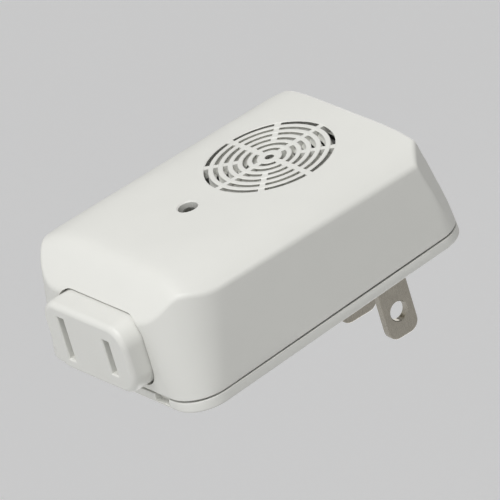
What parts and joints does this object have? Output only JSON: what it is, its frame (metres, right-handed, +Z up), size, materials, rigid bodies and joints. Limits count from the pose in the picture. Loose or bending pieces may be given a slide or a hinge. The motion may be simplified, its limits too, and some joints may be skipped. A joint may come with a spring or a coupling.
{
  "type": "plug-in ultrasonic pest repeller",
  "caption": "Plug-in ultrasonic pest repeller: arched oblong case with a round slotted sound grille, an indicator light, wall blades behind and a pass-through outlet below.",
  "frame": {"origin": "on the flat back face that rests on the wall plate, midway between the two blades", "axes": "+X to the right seen from the front, +Y into the wall along the blades, +Z up along the case"},
  "size_m": [0.046, 0.04, 0.0654],
  "materials": {
    "case_plastic": "fine satin texture, warm white",
    "shutter_plastic": "plain moulded, white",
    "insulator": "plain moulded, cream",
    "blade_metal": "nickel-plated brass, drawn along its length",
    "brass": "stamped strip",
    "steel": "zinc plated",
    "board_laminate": "green solder mask",
    "component_black": "moulded",
    "component_tan": "lacquered",
    "film_orange": "dipped",
    "sleeve_blue": "shrink sleeve",
    "copper_wire": "wound enamelled wire",
    "led_lens": "smoked resin",
    "foam": "closed-cell foam",
    "cone_film": "pressed film",
    "wire_red": "insulation",
    "wire_black": "insulation",
    "wire_white": "insulation"
  },
  "bodies": {
    "case": {"front_housing": "case_plastic", "rear_cover": "case_plastic", "outlet_block": "case_plastic", "contact_carrier": "insulator", "blade_carrier": "insulator", "line_blade": "blade_metal", "neutral_blade": "blade_metal", "line_bus": "brass", "neutral_bus": "brass", "line_contact": "brass", "neutral_contact": "brass", "line_lead": "wire_black", "neutral_lead": "wire_white", "circuit_board": "board_laminate", "indicator_led": "led_lens", "led_holder": "insulator", "film_capacitor": "film_orange", "electrolytic_capacitor": "sleeve_blue", "boost_coil": "copper_wire", "driver_chip": "component_black", "fuse_resistor": "component_tan", "diode_1": "component_black", "diode_2": "component_black", "diode_3": "component_black", "diode_4": "component_black", "resistor_1": "component_tan", "resistor_2": "component_tan", "resistor_3": "component_tan", "speaker_gasket": "foam", "speaker_ring": "component_black", "speaker_cone": "cone_film", "piezo_disc": "brass", "piezo_ceramic": "insulator", "speaker_back": "component_black", "speaker_lead_red": "wire_red", "speaker_lead_black": "wire_black", "cover_screw_1": "steel", "cover_screw_2": "steel", "cover_screw_3": "steel", "cover_screw_4": "steel", "board_screw_1": "steel", "board_screw_2": "steel", "line_shutter_spring": "steel", "neutral_shutter_spring": "steel"},
    "line_gate": {"line_shutter": "shutter_plastic"},
    "neutral_gate": {"neutral_shutter": "shutter_plastic"}
  },
  "joints": [
    {"name": "line_shutter_slide", "type": "slide", "parent": "case", "child": "line_gate", "axis": [-1, 0, 0], "range_m": [0, 0.0025], "stiffness_N_per_m": 60, "deforming": ["line_shutter_spring"]},
    {"name": "neutral_shutter_slide", "type": "slide", "parent": "case", "child": "neutral_gate", "axis": [1, 0, 0], "range_m": [0, 0.0025], "stiffness_N_per_m": 60, "deforming": ["neutral_shutter_spring"]}
  ]
}
